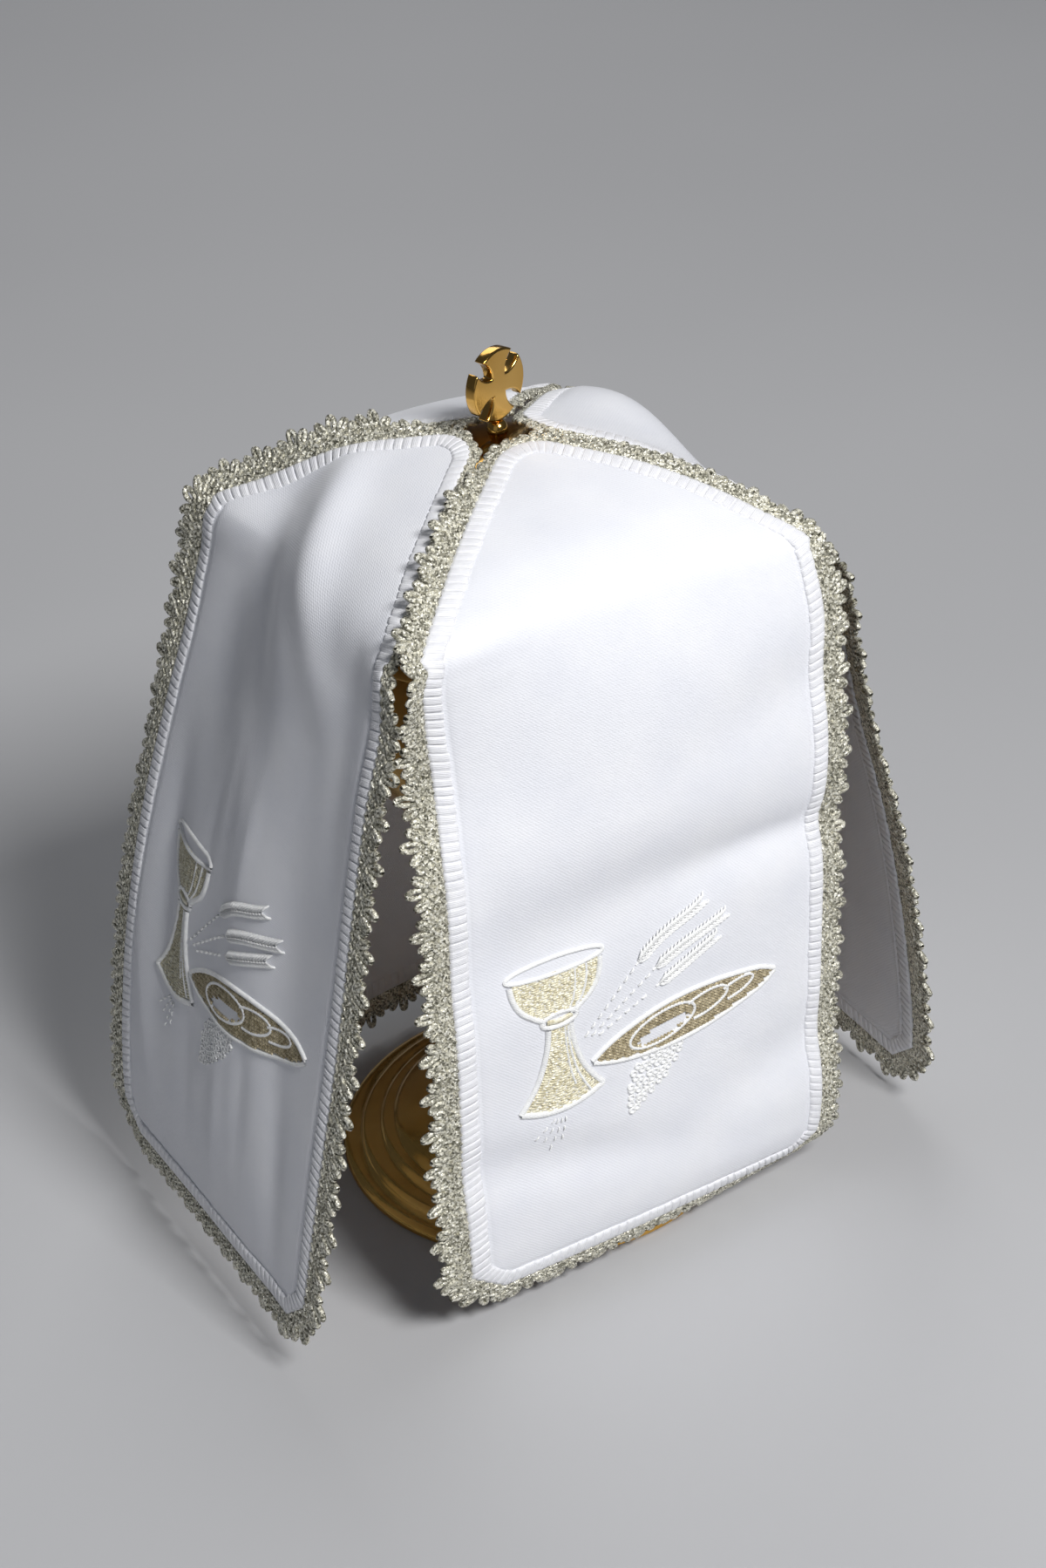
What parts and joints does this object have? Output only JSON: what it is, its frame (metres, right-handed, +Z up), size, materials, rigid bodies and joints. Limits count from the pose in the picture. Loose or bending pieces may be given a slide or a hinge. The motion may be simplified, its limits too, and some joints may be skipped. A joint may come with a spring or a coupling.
{
  "type": "ciborium veil on a ciborium",
  "caption": "White satin ciborium veil of hanging panels edged with silver scalloped lace, draped over a closed gilt ciborium whose round cross stands through the hole at the top.",
  "frame": {"origin": "centre of the underside of the ciborium's foot, on its turning axis", "axes": "+Z up along the ciborium's turning axis; the panel nearest the viewer in the picture faces -Y"},
  "size_m": [0.1878, 0.135, 0.2275],
  "materials": {
    "satin": "matt white satin",
    "silver_lace": "silver metallic thread lace",
    "gilt": "polished gold plate"
  },
  "bodies": {
    "root": {"panel_front": "satin", "lace_front": "silver_lace", "panel_left": "satin", "lace_left": "silver_lace", "panel_back": "satin", "lace_back": "silver_lace", "panel_right": "satin", "lace_right": "silver_lace", "foot": "gilt", "stem": "gilt", "cup": "gilt", "lid": "gilt", "finial_bead": "gilt", "finial_cross": "gilt"}
  },
  "joints": []
}
